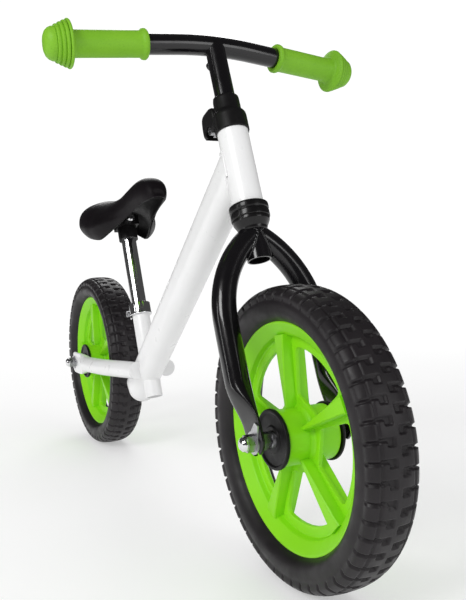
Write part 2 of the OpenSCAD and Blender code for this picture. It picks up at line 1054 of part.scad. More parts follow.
module nuts(x) {
    color(zinc)
        at_axle(x)
            both_ends()
                translate([0, 0, axle_gap / 2 + plate_t + washer_t])
                    difference() {
                        hex(15, nut_t);
                        translate([0, 0, -eps])
                            cylinder(h = nut_t + 2 * eps, d = axle_d);
                    }
}

// Domed covers over the ends of the axle
module dome_nuts(x) {
    foot = axle_gap / 2 + plate_t + washer_t + nut_t;
    shell = 1.2;
    dome_h = 5.6;
    color(zinc)
        at_axle(x)
            both_ends()
                translate([0, 0, foot])
                    difference() {
                        rotate_extrude()
                            polygon([
                                [0, 0], [7.2, 0], [7.2, 1], [6.6, 3], [5, 4.8], [2.6, dome_h], [0, dome_h + 0.3]
                            ]);
                        translate([0, 0, -eps])
                            cylinder(h = axle_half - foot + eps, d = axle_d);
                    }
}

head_tube();
down_tube();
down_tube_plug();
seat_tube();
chainstay(-1);  // chainstay_right
chainstay(1);  // chainstay_left
junction_screw();
seat_clamp();
seat_clamp_bolt();
seat_clamp_nut();
lower_cup();
lower_balls();
upper_cup();
upper_balls();
steerer();
fork_leg(-1);  // fork_leg_right
fork_leg(1);  // fork_leg_left
crown_race();
upper_cone();
bar_clamp();
bar_clamp_bolt();
bar_clamp_nut();
clamp_cover();
stem();
handlebar();
stem_boss();
grip(-1);  // grip_right
grip(1);  // grip_left
seatpost();
saddle_clamp();
saddle_bolt();
saddle_nut();
saddle_base();
saddle_pad();
rim(front_x);  // front_rim
tyre(front_x);  // front_tyre
hub_caps(front_x);  // front_hub_caps
bearings(front_x);  // front_bearings
spacer(front_x);  // front_spacer
axle(front_x);  // front_axle
cones(front_x);  // front_cones
tab_washers(front_x, head_angle - 90);  // front_tab_washers
nuts(front_x);  // front_nuts
dome_nuts(front_x);  // front_dome_nuts
rim(rear_x);  // rear_rim
tyre(rear_x);  // rear_tyre
hub_caps(rear_x);  // rear_hub_caps
bearings(rear_x);  // rear_bearings
spacer(rear_x);  // rear_spacer
axle(rear_x);  // rear_axle
cones(rear_x);  // rear_cones
tab_washers(rear_x, -90);  // rear_tab_washers
nuts(rear_x);  // rear_nuts
dome_nuts(rear_x);  // rear_dome_nuts
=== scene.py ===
import json
import math

import bmesh
import bpy
import numpy as np
from mathutils import Matrix, Vector, noise


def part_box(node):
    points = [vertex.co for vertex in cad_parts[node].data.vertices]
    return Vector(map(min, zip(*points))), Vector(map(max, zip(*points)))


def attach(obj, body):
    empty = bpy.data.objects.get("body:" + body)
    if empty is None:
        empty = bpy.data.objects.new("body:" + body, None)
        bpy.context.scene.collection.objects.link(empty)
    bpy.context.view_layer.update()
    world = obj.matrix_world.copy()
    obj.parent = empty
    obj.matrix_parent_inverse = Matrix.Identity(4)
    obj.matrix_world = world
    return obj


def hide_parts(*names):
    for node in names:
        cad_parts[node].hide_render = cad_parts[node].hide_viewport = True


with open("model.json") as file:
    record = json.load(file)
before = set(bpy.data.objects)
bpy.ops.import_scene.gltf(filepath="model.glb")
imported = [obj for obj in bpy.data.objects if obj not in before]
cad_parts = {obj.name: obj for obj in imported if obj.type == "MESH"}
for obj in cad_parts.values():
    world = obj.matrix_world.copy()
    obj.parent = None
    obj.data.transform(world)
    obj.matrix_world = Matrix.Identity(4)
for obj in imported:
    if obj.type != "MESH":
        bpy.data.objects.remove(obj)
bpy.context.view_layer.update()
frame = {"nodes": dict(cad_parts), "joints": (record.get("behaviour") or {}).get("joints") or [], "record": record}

# ---- places, from the frame

MM = 0.001
IN_MM = Matrix.Scale(MM, 4)
JOINTS = {joint["name"]: joint for joint in frame["joints"]}


def axis_frame(origin, z_axis, y_axis=(0, 1, 0)):
    """A matrix whose Z runs along z_axis from origin, with Y near y_axis."""
    z = Vector(z_axis).normalized()
    x = Vector(y_axis).cross(z).normalized()
    y = z.cross(x)
    matrix = Matrix((x, y, z)).transposed().to_4x4()
    matrix.translation = Vector(origin)
    return matrix


STEER = axis_frame(JOINTS["steering"]["pos_m"], JOINTS["steering"]["axis"])
STEER_MM = STEER @ IN_MM
FRONT_HUB = Vector(JOINTS["front_wheel_spin"]["pos_m"])
REAR_HUB = Vector(JOINTS["rear_wheel_spin"]["pos_m"])
WHEEL_R = FRONT_HUB.z / MM
TYRE_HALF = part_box("front_tyre")[1].y / MM
RIM_R = (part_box("front_rim")[1].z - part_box("front_rim")[0].z) / 2 / MM


def along(matrix, node):
    """Lowest and highest place of a CAD node along a matrix's Z."""
    inverse = matrix.inverted()
    z = [(inverse @ v.co).z for v in frame["nodes"][node].data.vertices]
    return min(z), max(z)


# ---- materials


class Nodes:
    """A short way to write a node material."""

    def __init__(self, name):
        self.material = bpy.data.materials.new(name)
        self.material.use_nodes = True
        self.tree = self.material.node_tree
        self.tree.nodes.clear()
        self.output = self.add("ShaderNodeOutputMaterial")
        self.shader = self.add("ShaderNodeBsdfPrincipled")
        self.link(self.shader, "BSDF", self.output, "Surface")
        self.coords = self.add("ShaderNodeTexCoord")

    def add(self, kind, **values):
        node = self.tree.nodes.new(kind)
        for key, value in values.items():
            setattr(node, key, value)
        return node

    def link(self, source, output, target, socket):
        self.tree.links.new(source.outputs[output], target.inputs[socket])

    def set(self, **values):
        for key, value in values.items():
            self.shader.inputs[key.replace("_", " ")].default_value = value

    def noise(self, scale, detail=4.0, rough=0.55, stretch=(1, 1, 1)):
        mapping = self.add("ShaderNodeMapping")
        mapping.inputs["Scale"].default_value = stretch
        self.link(self.coords, "Object", mapping, "Vector")
        texture = self.add("ShaderNodeTexNoise")
        texture.inputs["Scale"].default_value = scale
        texture.inputs["Detail"].default_value = detail
        texture.inputs["Roughness"].default_value = rough
        self.link(mapping, "Vector", texture, "Vector")
        return texture

    def ramp(self, source, output, stops):
        ramp = self.add("ShaderNodeValToRGB")
        elements = ramp.color_ramp.elements
        while len(elements) < len(stops):
            elements.new(0.5)
        for element, (place, colour) in zip(elements, stops):
            element.position = place
            element.color = (*colour, 1) if len(colour) == 3 else colour
        self.link(source, output, ramp, "Fac")
        return ramp

    def spread(self, source, output, low, high, from_low=0.3, from_high=0.7):
        spread = self.add("ShaderNodeMapRange")
        limits = {"From Min": from_low, "From Max": from_high, "To Min": low, "To Max": high}
        for key, value in limits.items():
            spread.inputs[key].default_value = value
        self.link(source, output, spread, "Value")
        return spread

    def bump(self, heights, edge=0.0):
        """Stacks bumps from (source, output, strength, distance), over rounded edges."""
        below = None
        if edge:
            below = self.add("ShaderNodeBevel", samples=4)
            below.inputs["Radius"].default_value = edge
        for source, output, strength, distance in heights:
            bump = self.add("ShaderNodeBump")
            bump.inputs["Strength"].default_value = strength
            bump.inputs["Distance"].default_value = distance
            self.link(source, output, bump, "Height")
            if below:
                self.link(below, "Normal", bump, "Normal")
            below = bump
        if below:
            self.link(below, "Normal", self.shader, "Normal")


def painted(name, dark, light, rough, edge, peel=0.06):
    """Powder coat or enamel: slight orange peel, faint cloudy variation."""
    m = Nodes(name)
    cloud = m.noise(9, 3)
    m.link(m.ramp(cloud, "Fac", [(0.3, dark), (0.7, light)]), "Color", m.shader, "Base Color")
    m.link(m.spread(m.noise(60, 5), "Fac", rough * 0.8, rough * 1.25), "Result", m.shader, "Roughness")
    m.bump([(m.noise(260, 1), "Fac", peel, 0.0002)], edge)
    return m


def frame_white():
    m = painted("frame_white", (0.80, 0.80, 0.80), (0.86, 0.86, 0.865), 0.32, 0)
    m.set(Coat_Weight=0.25, Coat_Roughness=0.2)
    return m.material


def plug_white():
    """Moulded white plastic of the plug in the down tube."""
    return painted("plug_plastic", (0.74, 0.74, 0.74), (0.82, 0.82, 0.82), 0.45, 0.0006, 0.1).material


def fork_black():
    m = painted("fork_black", (0.0030, 0.0026, 0.0034), (0.0050, 0.0043, 0.0055), 0.2, 0, 0.04)
    m.set(Coat_Weight=0.4, Coat_Roughness=0.06, Specular_IOR_Level=0.35)
    return m.material


def chrome():
    m = Nodes("chrome")
    m.link(m.ramp(m.noise(14, 2), "Fac", [(0.3, (0.72, 0.72, 0.735)), (0.7, (0.82, 0.82, 0.83))]),
           "Color", m.shader, "Base Color")
    m.link(m.spread(m.noise(90, 6, 0.6, (1, 1, 0.15)), "Fac", 0.05, 0.12), "Result", m.shader, "Roughness")
    m.set(Metallic=1.0)
    m.bump([(m.noise(30, 1), "Fac", 0.03, 0.0002)])
    return m.material


def zinc(name="zinc", dark=(0.36, 0.36, 0.37), light=(0.6, 0.6, 0.62), rough=0.28):
    """Plated steel, slightly brushed, with dull patches."""
    m = Nodes(name)
    m.link(m.ramp(m.noise(70, 5), "Fac", [(0.3, dark), (0.68, light)]), "Color", m.shader, "Base Color")
    m.link(m.spread(m.noise(260, 4, 0.6, (1, 1, 0.2)), "Fac", rough * 0.7, rough * 1.5), "Result",
           m.shader, "Roughness")
    m.set(Metallic=1.0)
    m.bump([(m.noise(900, 2), "Fac", 0.08, 0.0002)], 0.0003)
    return m.material


def black_plastic(name, level, rough, grain, coat=0.0):
    """Moulded black plastic with a fine spark-eroded grain."""
    m = Nodes(name)
    dark = (level * 0.8, level * 0.74, level * 0.8)
    light = (level * 1.3, level * 1.2, level * 1.28)
    m.link(m.ramp(m.noise(25, 4), "Fac", [(0.3, dark), (0.7, light)]), "Color", m.shader, "Base Color")
    m.link(m.spread(m.noise(180, 4), "Fac", rough * 0.85, rough * 1.2), "Result", m.shader, "Roughness")
    m.set(Coat_Weight=coat, Coat_Roughness=0.15, Specular_IOR_Level=0.22)
    m.bump([(m.noise(1500, 3), "Fac", grain, 0.00025)], 0.0005)
    return m.material


def wheel_green():
    m = Nodes("wheel_green")
    m.link(m.ramp(m.noise(7, 4), "Fac", [(0.3, (0.235, 0.66, 0.006)), (0.7, (0.275, 0.74, 0.010))]),
           "Color", m.shader, "Base Color")
    m.link(m.spread(m.noise(120, 4), "Fac", 0.34, 0.46), "Result", m.shader, "Roughness")
    m.set(Specular_IOR_Level=0.3)
    m.bump([(m.noise(800, 3), "Fac", 0.05, 0.0003), (m.noise(40, 2), "Fac", 0.05, 0.0006)])
    return m.material


def grip_green():
    m = Nodes("grip_green")
    speck = m.noise(900, 2, 0.5)
    base = m.ramp(m.noise(14, 4), "Fac", [(0.3, (0.165, 0.42, 0.012)), (0.7, (0.205, 0.48, 0.018))])
    dots = m.ramp(speck, "Fac", [(0.34, (0.8, 0.85, 0.7)), (0.42, (1, 1, 1))])
    mix = m.add("ShaderNodeMix", data_type="RGBA", blend_type="MULTIPLY")
    mix.inputs["Factor"].default_value = 1.0
    m.tree.links.new(base.outputs["Color"], mix.inputs[6])
    m.tree.links.new(dots.outputs["Color"], mix.inputs[7])
    m.tree.links.new(mix.outputs[2], m.shader.inputs["Base Color"])
    m.link(m.spread(speck, "Fac", 0.42, 0.62), "Result", m.shader, "Roughness")
    m.set(Specular_IOR_Level=0.35)
    m.bump([(speck, "Fac", 0.12, 0.0003)])
    return m.material


def tyre_foam():
    m = Nodes("tyre_foam")
    m.link(m.ramp(m.noise(22, 6), "Fac", [(0.3, (0.0098, 0.0078, 0.0092)), (0.7, (0.0165, 0.0132, 0.0155))]),
           "Color", m.shader, "Base Color")
    m.link(m.spread(m.noise(70, 5), "Fac", 0.36, 0.56), "Result", m.shader, "Roughness")
    m.set(Specular_IOR_Level=0.35)
    m.bump([(m.noise(1400, 3), "Fac", 0.16, 0.0003), (m.noise(160, 4), "Fac", 0.08, 0.0006)])
    return m.material


def saddle_skin():
    m = Nodes("saddle_skin")
    cells = m.add("ShaderNodeTexVoronoi")
    cells.inputs["Scale"].default_value = 1100
    m.link(m.coords, "Object", cells, "Vector")
    m.link(m.ramp(m.noise(20, 4), "Fac", [(0.3, (0.0048, 0.0036, 0.0046)), (0.7, (0.0078, 0.0058, 0.0074))]),
           "Color", m.shader, "Base Color")
    m.link(m.spread(m.noise(50, 4), "Fac", 0.36, 0.5), "Result", m.shader, "Roughness")
    m.set(Specular_IOR_Level=0.12)
    m.bump([(cells, "Distance", 0.12, 0.0003), (m.noise(45, 3), "Fac", 0.08, 0.0015)])
    return m.material


MATERIALS = {
    "frame_paint": frame_white(),
    "fork_paint": fork_black(),
    "chrome_plate": chrome(),
    "zinc_steel": zinc(),
    "ball_steel": zinc("ball_steel", (0.5, 0.5, 0.52), (0.68, 0.68, 0.7), 0.14),
    "dark_steel": black_plastic("dark_steel", 0.005, 0.3, 0.03, 0.3),
    "cover_plastic": black_plastic("cover_plastic", 0.006, 0.42, 0.08),
    "plug_plastic": plug_white(),
    "wheel_plastic": wheel_green(),
    "tyre_foam": tyre_foam(),
    "grip_rubber": grip_green(),
    "saddle_skin": saddle_skin(),
    "saddle_shell": black_plastic("saddle_shell", 0.007, 0.5, 0.12),
}


def paint_cad_nodes():
    """Gives every CAD node its slot's material."""
    for row in frame["record"]["subparts"]:
        node = frame["nodes"][row["node"]]
        node.data.materials.clear()
        node.data.materials.append(MATERIALS[row["material_slot"]])


# ---- mesh helpers

# Distance within which points of a skin are one point
WELD = 1e-6
# Edge rounding of a cutter that has to stay sharp
SHARP = 0.01


def skin_mesh(name, verts, faces):
    """A mesh of a skin, with doubled points welded and its faces turned outwards."""
    mesh = bpy.data.meshes.new(name)
    mesh.from_pydata([tuple(v) for v in verts], [], [tuple(f) for f in faces])
    build = bmesh.new()
    build.from_mesh(mesh)
    bmesh.ops.remove_doubles(build, verts=build.verts, dist=WELD)
    bmesh.ops.recalc_face_normals(build, faces=build.faces)
    build.to_mesh(mesh)
    build.free()
    return mesh


def new_piece(name, verts, faces, slot, body, replaced=(), sharp=40, matrix=None):
    """Adds a mesh that rides on a body, takes a slot's finish and stands for some CAD nodes."""
    mesh = skin_mesh(name, verts, faces)
    if matrix is not None:
        mesh.transform(matrix)
    return finish_piece(mesh, name, slot, body, replaced, sharp)


def finish_piece(mesh, name, slot, body, replaced=(), sharp=40):
    """Shades a mesh smooth up to the sharp angle and hands it over as a piece."""
    mesh.polygons.foreach_set("use_smooth", [True] * len(mesh.polygons))
    mesh.set_sharp_from_angle(angle=math.radians(sharp))
    mesh.materials.clear()
    mesh.materials.append(MATERIALS[slot])
    piece = bpy.data.objects.new(name, mesh)
    bpy.context.scene.collection.objects.link(piece)
    if replaced:
        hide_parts(*replaced)
    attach(piece, body)
    return piece


def loft(rings, caps=True):
    """Vertices and quads of a skin over closed rings, each a list of points."""
    n = len(rings[0])
    verts = [p for ring in rings for p in ring]
    faces = []
    for r in range(len(rings) - 1):
        for i in range(n):
            j = (i + 1) % n
            faces.append((r * n + i, r * n + j, (r + 1) * n + j, (r + 1) * n + i))
    if caps:
        faces.append(tuple(range(n)))
        faces.append(tuple((len(rings) - 1) * n + i for i in range(n)))
    return verts, faces


def wrapped(rings, n):
    """Quads over rings of n points that close on themselves both ways."""
    return [(i * n + k, i * n + (k + 1) % n, (i + 1) % rings * n + (k + 1) % n, (i + 1) % rings * n + k)
            for i in range(rings) for k in range(n)]


def lathe(profile, steps=96):
    """Skin of a closed profile of (radius, height) turned round Z. A radius of 0 makes a pole."""
    verts = []
    for i in range(steps):
        a = 2 * math.pi * i / steps
        verts += [(r * math.cos(a), r * math.sin(a), z) for r, z in profile]
    on_axis = [math.hypot(x, y) < WELD for x, y, z in verts]
    faces = [face for face in wrapped(steps, len(profile)) if not on_axis[face[0]] or not on_axis[face[1]]]
    return verts, faces


def curved(start, tip, end, count):
    """Points of a smooth curve from start to end, drawn towards tip."""
    return [(1 - t) ** 2 * start + 2 * t * (1 - t) * tip + t * t * end for t in evenly(0, 1, count)]


def rounded(profile, radius, steps=4):
    """The profile with each corner rounded by up to radius."""
    result = []
    n = len(profile)
    for i in range(n):
        p = Vector(profile[i])
        before, after = Vector(profile[i - 1]), Vector(profile[(i + 1) % n])
        to_before, to_after = before - p, after - p
        reach = min(radius, 0.45 * to_before.length, 0.45 * to_after.length)
        if reach < 1e-7:
            result.append(tuple(p))
            continue
        a, b = p + to_before.normalized() * reach, p + to_after.normalized() * reach
        result += [tuple(q) for q in curved(a, p, b, steps + 1)]
    return result


def scaled(profile):
    """A profile in millimetres as one in metres."""
    return [(r * MM, z * MM) for r, z in profile]


def joined(parts):
    """One list of vertices and faces from several."""
    verts, faces = [], []
    for part_verts, part_faces in parts:
        start = len(verts)
        verts += list(part_verts)
        faces += [tuple(start + i for i in face) for face in part_faces]
    return verts, faces


def moved(part, matrix):
    """A skin moved by a matrix."""
    verts, faces = part
    return [tuple(matrix @ Vector(v)) for v in verts], faces


def evenly(low, high, count):
    """Evenly spread numbers, both ends included."""
    return [low + (high - low) * i / (count - 1) for i in range(count)]


def smooth_path(points, count):
    """A Catmull-Rom line through the points, as count evenly spread points."""
    pts = [Vector(p) for p in points]
    pts = [2 * pts[0] - pts[1]] + pts + [2 * pts[-1] - pts[-2]]
    fine = []
    for i in range(1, len(pts) - 2):
        p0, p1, p2, p3 = pts[i - 1:i + 3]
        for k in range(24):
            t = k / 24
            fine.append(0.5 * (2 * p1 + (p2 - p0) * t + (2 * p0 - 5 * p1 + 4 * p2 - p3) * t * t
                               + (3 * p1 - p0 - 3 * p2 + p3) * t ** 3))
    fine.append(pts[-2])
    lengths = np.cumsum([0] + [(b - a).length for a, b in zip(fine, fine[1:])])
    where = np.linspace(0, lengths[-1], count)
    line = np.array([[np.interp(w, lengths, [p[c] for p in fine]) for c in range(3)] for w in where])
    return [Vector(p) for p in line]


def mirrored(skin):
    """The same skin on the rider's other side."""
    return moved(skin, Matrix.Scale(-1, 4, (0, 1, 0)))


def signed_power(value, power):
    """The power of a number's size, with the number's sign."""
    return math.copysign(abs(value) ** power, value)


def tube_skin(path, sizes, side=(0, 1, 0), steps=40, closed=False):
    """Skin along a path. sizes holds each point's half width, half height and squareness."""
    rings = []
    count = len(path)
    for i, p in enumerate(path):
        if closed:
            ahead = path[(i + 1) % count] - path[i - 1]
        else:
            ahead = path[min(i + 1, count - 1)] - path[max(i - 1, 0)]
        ahead.normalize()
        across = Vector(side).cross(ahead).normalized()
        upward = ahead.cross(across)
        half_a, half_b, power = sizes[i]
        ring = []
        for k in range(steps):
            c, v = math.cos(2 * math.pi * k / steps), math.sin(2 * math.pi * k / steps)
            a = half_a * signed_power(c, 2 / power)
            b = half_b * signed_power(v, 2 / power)
            ring.append(tuple(p + across * a + upward * b))
        rings.append(ring)
    if closed:
        rings.append(rings[0])
    return loft(rings, caps=not closed)


def block(low, high, corner=0.8, steps=4):
    """A box with rounded edges all round, as a skin."""
    low, high = Vector(low), Vector(high)
    outline = rounded([(low.x, low.y), (high.x, low.y), (high.x, high.y), (low.x, high.y)], corner, steps)
    middle = (low + high) / 2
    rings = []
    for z, inset in ((low.z, corner), (low.z + 0.3 * corner, 0.3 * corner), (low.z + corner, 0),
                     (high.z - corner, 0), (high.z - 0.3 * corner, 0.3 * corner), (high.z, corner)):
        x_share = 1 - inset / (high.x - middle.x)
        y_share = 1 - inset / (high.y - middle.y)
        rings.append([(middle.x + (x - middle.x) * x_share, middle.y + (y - middle.y) * y_share, z)
                      for x, y in outline])
    return loft(rings)


def rod(radius, start, end, steps=32):
    """A plain round cutter from start to end."""
    start, end = Vector(start), Vector(end)
    side = (0, 0, 1) if abs((end - start).normalized().z) < 0.9 else (1, 0, 0)
    return tube_skin([start, end], [(radius, radius, 2)] * 2, side, steps)


def carved(part, cutters):
    """The part's skin with every cutter's skin taken out of it."""
    holders = []
    for verts, faces in (part, *cutters):
        holder = bpy.data.objects.new("carve", skin_mesh("carve", verts, faces))
        bpy.context.scene.collection.objects.link(holder)
        holders.append(holder)
    for cutter in holders[1:]:
        modifier = holders[0].modifiers.new("carve", "BOOLEAN")
        modifier.operation = "DIFFERENCE"
        modifier.solver = "EXACT"
        modifier.object = cutter
    bpy.context.view_layer.update()
    mesh = holders[0].evaluated_get(bpy.context.evaluated_depsgraph_get()).to_mesh()
    result = [tuple(v.co) for v in mesh.vertices], [tuple(p.vertices) for p in mesh.polygons]
    for holder in holders:
        bpy.data.objects.remove(holder)
    return result


def eased(t, low, high):
    """0 below low, 1 above high, smooth between."""
    t = min(max((t - low) / (high - low), 0), 1)
    return t * t * (3 - 2 * t)


# ---- tyres

TREAD_PITCHES = 54
STEPS_PER_PITCH = 16
TREAD_DEPTH = 2.7
# Radius of the middle of a tyre's section
SECTION_R = 128
# How far below the tyre's outside the tread begins, and how soon it has its full depth
TREAD_START = 13.5
TREAD_FADE = 4.0


def tread_height(across, turn):
    """Height of the tread, 0 to 1: across in mm from the middle, turn in pitches round the tyre."""
    across, turn = np.asarray(across), np.asarray(turn)

    def lug(centre, half, phase, length, soft_across=0.9, soft_turn=0.055):
        offset = np.abs((turn - phase + 0.5) % 1.0 - 0.5)
        inside_turn = np.clip((length / 2 - offset) / soft_turn + 0.5, 0, 1)
        inside_across = np.clip((half - np.abs(across - centre)) / soft_across + 0.5, 0, 1)
        return np.minimum(inside_turn, inside_across)

    height = 0
    for side, phase in ((-1, 0.0), (1, 0.5)):
        height = np.maximum(height, lug(side * 6.0, 9.0, phase, 0.56))
        height = np.maximum(height, lug(side * 12.5, 3.0, phase + 0.12, 0.8))
        height = np.maximum(height, lug(side * 21.5, 5.2, phase + 0.05, 0.84, 1.2, 0.07))
    return height * height * (3 - 2 * height)


def tyre_profile():
    """Half of the tyre's section from the rim out to the middle of the tread, as (radius, across) in mm."""
    rim, out, half = RIM_R, WHEEL_R, TYRE_HALF
    return [(rim - 0.4, 0), (rim - 0.4, 15.4), (rim + 0.6, 17.2), (rim + 2.6, 20.4), (rim + 6.0, 23.6),
            (rim + 10.5, 25.6), (rim + 15.5, half - 0.5), (out - 14.0, half - 1.4), (out - 9.5, half - 3.2),
            (out - 6.2, half - 6.4), (out - 4.1, half - 11.0), (out - 3.1, half - 16.5),
            (out - 2.75, half - 21.5), (out - 2.7, 0)]


def tyre(name, hub, body, replaced):
    """Foam tyre: smooth sidewalls, then moulded blocks that interlock over the middle."""
    half = smooth_path([(r, 0, y) for r, y in tyre_profile()[1:]], 58)
    side = [(p.x, p.z) for p in half]
    section = [(r, y) for r, y in side] + [(r, -y) for r, y in side[::-1][1:]]
    section = np.array(section)
    tangent = np.roll(section, -1, 0) - np.roll(section, 1, 0)
    normal = np.stack([-tangent[:, 1], tangent[:, 0]], 1)
    normal /= np.linalg.norm(normal, axis=1)[:, None]
    outward = normal * np.sign(normal[:, :1] * (section[:, :1] - SECTION_R) + normal[:, 1:] * section[:, 1:])
    steps = TREAD_PITCHES * STEPS_PER_PITCH
    share = np.clip((section[:, 0] - (WHEEL_R - TREAD_START)) / TREAD_FADE, 0, 1)
    verts = []
    for i in range(steps):
        rise = tread_height(section[:, 1], i / STEPS_PER_PITCH) * share * TREAD_DEPTH
        ring = section + outward * rise[:, None]
        a = 2 * math.pi * i / steps
        verts += [(r * MM * math.cos(a), y * MM, r * MM * math.sin(a)) for r, y in ring]
    faces = wrapped(steps, len(section))
    new_piece(name, verts, faces, "tyre_foam", body, replaced, 180, Matrix.Translation(hub))


# ---- wheels

# Turns what was drawn round Z round an axle
ON_AXLE = Matrix.Rotation(math.pi / 2, 4, "X")
SPOKES = 5
SPOKE_TURN = math.radians(100)
HUB_R = 27.0
# Radius of the windows' outer edge
WEB_IN = 86.0


def rim_channel():
    """The rim's ring: two sloping faces, a step down to the web and the web itself."""
    rim = RIM_R
    half = [(rim, 0), (rim, 16.0), (rim - 2.2, 16.0), (rim - 12.5, 9.2), (rim - 14.0, 8.0), (rim - 15.6, 2.4),
            (rim - 17.5, 2.2)]
    profile = half + [(r, -y) for r, y in half[::-1][:-1]]
    return moved(lathe(scaled(rounded(profile, 1.0, 3)), 160), ON_AXLE)


def window_outline():
    """Outline of the window between two spokes, round the middle of the window at +X."""
    step = 2 * math.pi / SPOKES
    points = []

    def polar(radius, angle):
        return Vector((radius * math.cos(angle), radius * math.sin(angle)))

    def edge(radius):
        return 4.4 + (radius - 34) * 0.16

    inner, outer = 39.0, WEB_IN
    gap_in = step / 2 - math.asin(edge(inner) / inner)
    gap_out = step / 2 - math.asin(edge(outer) / outer)
    points.append((polar(inner, -gap_in), 3.0))
    points.append((polar(outer, -gap_out), 9.0))
    for k in range(1, 8):
        points.append((polar(outer, -gap_out + 2 * gap_out * k / 8), 0.0))
    points.append((polar(outer, gap_out), 9.0))
    points.append((polar(inner, gap_in), 3.0))
    points.append((polar(35.0, 0), 6.0))
    line = []
    n = len(points)
    for i in range(n):
        p, radius = points[i]
        before, after = points[i - 1][0], points[(i + 1) % n][0]
        if radius == 0:
            line.append(p)
            continue
        reach_a = min(radius, 0.48 * (before - p).length)
        reach_b = min(radius, 0.48 * (after - p).length)
        a = p + (before - p).normalized() * reach_a
        b = p + (after - p).normalized() * reach_b
        line += curved(a, p, b, 7)
    return line


def web_plate():
    """The thin plate between hub and rim with its windows, as a bevelled flat curve turned to mesh."""
    curve = bpy.data.curves.new("web", "CURVE")
    curve.dimensions = "2D"
    curve.fill_mode = "BOTH"
    curve.extrude = 1.5 * MM
    curve.bevel_depth = 0.7 * MM
    curve.bevel_resolution = 2

    def spline(points):
        line = curve.splines.new("POLY")
        line.points.add(len(points) - 1)
        for place, p in zip(line.points, points):
            place.co = (p[0] * MM, p[1] * MM, 0, 1)
        line.use_cyclic_u = True

    rim = RIM_R - 16.0
    spline([(rim * math.cos(a), rim * math.sin(a)) for a in np.linspace(0, 2 * math.pi, 120, endpoint=False)])
    spline([(22 * math.cos(a), 22 * math.sin(a)) for a in np.linspace(0, 2 * math.pi, 48, endpoint=False)])
    window = window_outline()
    for i in range(SPOKES):
        turn = Matrix.Rotation(SPOKE_TURN + (i + 0.5) * 2 * math.pi / SPOKES, 2)
        spline([tuple(turn @ p) for p in window])
    holder = bpy.data.objects.new("web", curve)
    bpy.context.scene.collection.objects.link(holder)
    bpy.context.view_layer.update()
    mesh = holder.evaluated_get(bpy.context.evaluated_depsgraph_get()).to_mesh()
    verts = [tuple(v.co) for v in mesh.vertices]
    faces = [tuple(p.vertices) for p in mesh.polygons]
    bpy.data.objects.remove(holder)
    return moved((verts, faces), ON_AXLE)


def spoke_rib(side):
    """The tapered rib on one side of a spoke, along +X from the hub."""
    length = [(23.0, 2.0, 13.4), (36.0, 2.5, 13.4), (62.0, 4.8, 13.2), (90.0, 7.4, 12.6), (97.5, 8.4, 12.0)]
    rings = []
    for x, half, deep in length:
        foot = half + 0.9
        top = half - 0.2
        ring = [(x, -foot, 0), (x, -half, deep * 0.5), (x, -top, deep - 1.1), (x, -top + 1.0, deep),
                (x, top - 1.0, deep), (x, top, deep - 1.1), (x, half, deep * 0.5), (x, foot, 0)]
        rings.append([(px * MM, py * MM, side * pz * MM) for px, py, pz in ring])
    return loft(rings)


def hub_barrel():
    """The hub: a barrel with a collar at each end and fillets into the web."""
    bore, end = 13.2, 29.0
    half = [(bore, 0), (bore, 21.0), (bore, end), (25.4, end), (HUB_R, 27.6), (HUB_R, 6.0),
            (HUB_R + 1.6, 3.2), (HUB_R + 4.0, 1.8), (HUB_R + 4.0, 0)]
    profile = half + [(r, -y) for r, y in half[::-1][1:-1]]
    return lathe(scaled(rounded(profile, 0.8, 3)))


def wheel(name, hub, body, replaced):
    """One green moulding: rim, web with its windows, hub and a rib on each face of each spoke."""
    parts = [rim_channel(), web_plate(), moved(hub_barrel(), ON_AXLE)]
    for i in range(SPOKES):
        angle = SPOKE_TURN + i * 2 * math.pi / SPOKES
        place = ON_AXLE @ Matrix.Rotation(angle, 4, "Z")
        for side in (-1, 1):
            parts.append(moved(spoke_rib(side), place))
    new_piece(name, *joined(parts), "wheel_plastic", body, replaced, 32, Matrix.Translation(hub))


def hub_caps(name, hub, body, replaced):
    """Black discs with a raised edge and a stepped boss round the axle."""
    profile = [(8.2, 29.2), (8.2, 32.2), (12.5, 32.2), (13.5, 31.0), (24.6, 31.0), (26.0, 32.6), (28.4, 32.6),
               (29.0, 31.6), (29.0, 29.2)]
    parts = []
    for side in (-1, 1):
        ring = lathe(scaled([(r, z * side) for r, z in rounded(profile, 0.7, 3)]))
        parts.append(moved(ring, ON_AXLE))
    new_piece(name, *joined(parts), "cover_plastic", body, replaced, 40, Matrix.Translation(hub))


def wheels():
    """Both wheels, which are alike."""
    for end, hub in (("front", FRONT_HUB), ("rear", REAR_HUB)):
        body = f"{end}_wheel"
        tyre(f"{end}_tyre_foam", hub, body, [f"{end}_tyre"])
        wheel(f"{end}_wheel_moulding", hub, body, [f"{end}_rim"])
        hub_caps(f"{end}_hub_discs", hub, body, [f"{end}_hub_caps"])


# ---- fork and stays

LEG_R = 12.5
# Radius of a leg's bend and the height of its middle above the axle, along the steering axis
LEG_BEND_R = 110.0
LEG_BEND_Z = 118.0
LEG_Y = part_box("fork_leg_left")[1].y / MM - LEG_R
# Middle plane of an axle plate, and half the width of the slot in it
AXLE_PLATE_Y = 49.0
AXLE_SLOT = 5.2
FRONT_AXLE_MM = STEER_MM.inverted() @ FRONT_HUB
REAR_AXLE_MM = REAR_HUB / MM


